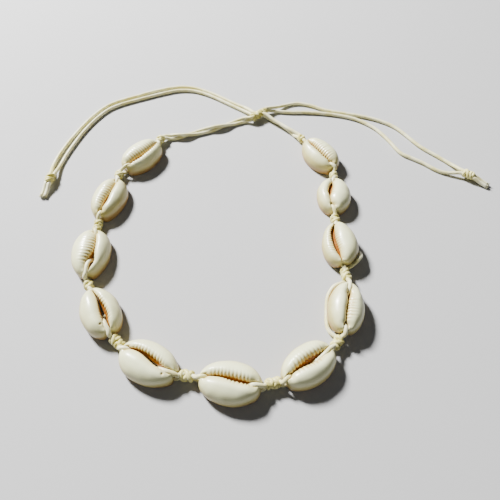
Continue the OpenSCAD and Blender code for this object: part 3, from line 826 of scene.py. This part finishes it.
def buildShell(index, shell):
    mesh = bmesh.new()
    shade = mesh.verts.layers.float_color.new("shade")
    lift = mesh.verts.layers.float.new("lift")
    around, steps = shellForm["around"], len(sectionRows)
    made = bmesh.ops.create_grid(mesh, x_segments=around, y_segments=steps, size=0.5)
    for vertex in made["verts"]:
        turn = 2 * math.pi * (round((vertex.co.x + 0.5) * around) % around) / around
        row = sectionRows[round((vertex.co.y + 0.5) * steps) % steps]
        x, y, z, share, inX, neckShare = shellPoint(shell, turn, row, index)
        edgeDown = 0.0 if row[1] is None else max(0.0, 0.77 - row[1])
        out, neck = shell["out"], shell["neck"]
        # the groove share cuts the ribs and also paints shade in their grooves and the dimple
        paintedGrooveShade, depth = 0.0, 0.0
        if row[2] < 0.15 and (row[1] is None or row[1] > 0.5):
            for side, weight in ((out, 1 - neckShare), (neck, neckShare)):
                cut = grooveAt(shell, side, share, inX, edgeDown, index) * weight
                paintedGrooveShade += cut
                depth += cut * side["ribs"] * (1.1 - 0.4 * min(1.0, share / 0.1))
        if shell["dimple"] and row[1] is None:
            t, aside = shell["dimple"]
            away = math.hypot(x - t * shell["slitEnd"], y - slitLine(shell, x) - aside)
            hollow = math.exp(-(away / shellForm["dimpleHalf"]) ** 2)
            paintedGrooveShade, depth = max(paintedGrooveShade, 1.5 * hollow), depth + shellForm["dimpleDeep"] * hollow
        swell = shellForm["bumps"] * noise.noise(Vector((x * 0.3, y * 0.3, z * 0.3 + index * 9.0)))
        vertex.co = Vector((x, y, z)) * mm
        vertex[shade] = (share, clamp(z / shellForm["high"]), row[3], clamp(paintedGrooveShade))
        vertex[lift] = (swell if z > 0.5 else 0.0) - depth
    bmesh.ops.remove_doubles(mesh, verts=mesh.verts, dist=mergeWithin)
    bmesh.ops.recalc_face_normals(mesh, faces=mesh.faces)
    mesh.normal_update()
    for vertex, move in [(v, v.normal * v[lift] * mm) for v in mesh.verts]:
        vertex.co += move
    mesh.verts.layers.float.remove(mesh.verts.layers.float["lift"])
    tilt = shellFrame({**shell, "place": (0, 0, 0)})
    lowest = min((tilt @ vertex.co).z for vertex in mesh.verts) / mm
    shell["lowest"] = lowest
    move = shellFrame(shell, lowest)
    move.translation *= mm
    bmesh.ops.transform(mesh, verts=mesh.verts, matrix=move)
    name = f"cowrie{index:02d}"
    piece = linkPiece(name, mesh, shellMaterial(name, shellLook, shell["warmth"]))
    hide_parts(f"shell_{index:02d}")
    return piece


for i, shell in enumerate(shells):
    buildShell(i + 1, shell)
print("shells built")


def endRoute(shell, way):
    # the strand's points from the knot over one end of the shell and down into the slit
    kind = shell["ends"][way > 0]
    half, slitEnd, hide = shell["half"], shell["slitEnd"], shell["hide"]
    over = shellForm["overLow"] if kind == "low" else shellForm["over"]
    points = [(half + 0.5, 0.0, mix(over, 3.0, 0.62)), (half - 0.3, 0.0, mix(over, 3.0, 0.18)),
              (half - 1.2, 0.0, over)]
    if kind == "long":
        points += [(t * slitEnd, aside, up) for t, aside, up in shell["long"]]
    elif kind == "high":
        points += [(slitEnd - 0.6, 0.0, over - 0.2), (slitEnd - 1.8, hide * 0.1, over - 1.1),
                   (slitEnd - 3.2, hide * 0.5, 2.5)]
    else:
        points += [(slitEnd - 1.2, hide * 0.2, 2.2), (slitEnd - 3.2, hide * 0.8, 2.1)]
    return [(way * x, aside, up) for x, aside, up in points]


def strandBetween(i, middle, rise):
    # from one knot of the string over the middle points to the next
    first = outOf(knotEnd(i, 1, rise, 0), knots[i][2])
    last = outOf(knotEnd(i + 1, -1, rise, 0), knots[i + 1][2] + 180)[::-1]
    line = ([first[0] - along(knots[i][2]) * cord["inKnot"]]
            + smoothLine(first + middle + last, 5)
            + [last[1] + along(knots[i + 1][2]) * cord["inKnot"]])
    return relaxed(line, cord["strandStep"], cord["strandEasing"])


def overStrand(i, shell):
    place = shellFrame(shell, shell["lowest"])
    points = endRoute(shell, -1) + [(0.0, shell["hide"], 1.9)] + endRoute(shell, 1)[::-1]
    return strandBetween(i, [place @ Vector((x, slitLine(shell, x) + aside, up))
                             for x, aside, up in points], 1)


def underStrand(i, shell):
    x, y, heading = shell["place"]
    middle = []
    route = shell["under"] or [(share, shell["hide"] * max(0.0, 1 - share * share),
                                cord["low"] + (0.15 if abs(share) > 0.95 else 0.0))
                               for share in (-1, -0.7, -0.4, 0, 0.4, 0.7, 1)]
    for share, aside, up in route:
        middle.append(Vector((x, y, up)) + along(heading) * (shell["half"] + 0.4) * share
                      + leftOf(heading) * aside)
    return strandBetween(i, middle, -1)


for i, shell in enumerate(shells):
    over = cordPiece(f"overStrand{i + 1:02d}", overStrand(i, shell))
    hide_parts(f"front_strand_{i + 1:02d}")
    under = cordPiece(f"underStrand{i + 1:02d}", underStrand(i, shell))
    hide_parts(f"back_strand_{i + 1:02d}")
print("strands laid")


studio = {
    "floorHalf": 3.0, "floorTint": (0.46, 0.46, 0.46, 1.0), "floorRoughness": 0.9,
    "gap": 0.00005, "air": (0.95, 0.97, 1.0, 1.0), "airPower": 0.07,
}


def floorMaterial():
    material, shader = newMaterial("paleFloor")[:2]
    shader.inputs["Base Color"].default_value = studio["floorTint"]
    shader.inputs["Roughness"].default_value = studio["floorRoughness"]
    return material


floorMesh = bmesh.new()
bmesh.ops.create_grid(floorMesh, x_segments=1, y_segments=1, size=studio["floorHalf"])
floorData = bpy.data.meshes.new("floor")
floorMesh.to_mesh(floorData)
floorMesh.free()
floorData.materials.append(floorMaterial())
floor = bpy.data.objects.new("floor", floorData)
floor.location.z = -studio["gap"]
bpy.context.scene.collection.objects.link(floor)

lights = [   # name, place, size, power
    ("key", (-0.55, 0.62, 0.66), 0.20, 58.0),
    ("fill", (0.5, -0.7, 0.9), 0.9, 0.8),
]
for name, place, size, power in lights:
    lamp = bpy.data.lights.new(name, "AREA")
    lamp.shape = "DISK"
    lamp.size = size
    lamp.energy = power
    holder = bpy.data.objects.new(name, lamp)
    holder.location = place
    holder.rotation_euler = (-Vector(place)).to_track_quat("-Z", "Y").to_euler()
    bpy.context.scene.collection.objects.link(holder)
world = bpy.data.worlds.new("studio")
world.use_nodes = True
air = world.node_tree.nodes["Background"]
air.inputs["Color"].default_value = studio["air"]
air.inputs["Strength"].default_value = studio["airPower"]
bpy.context.scene.world = world
print("floor and light set")
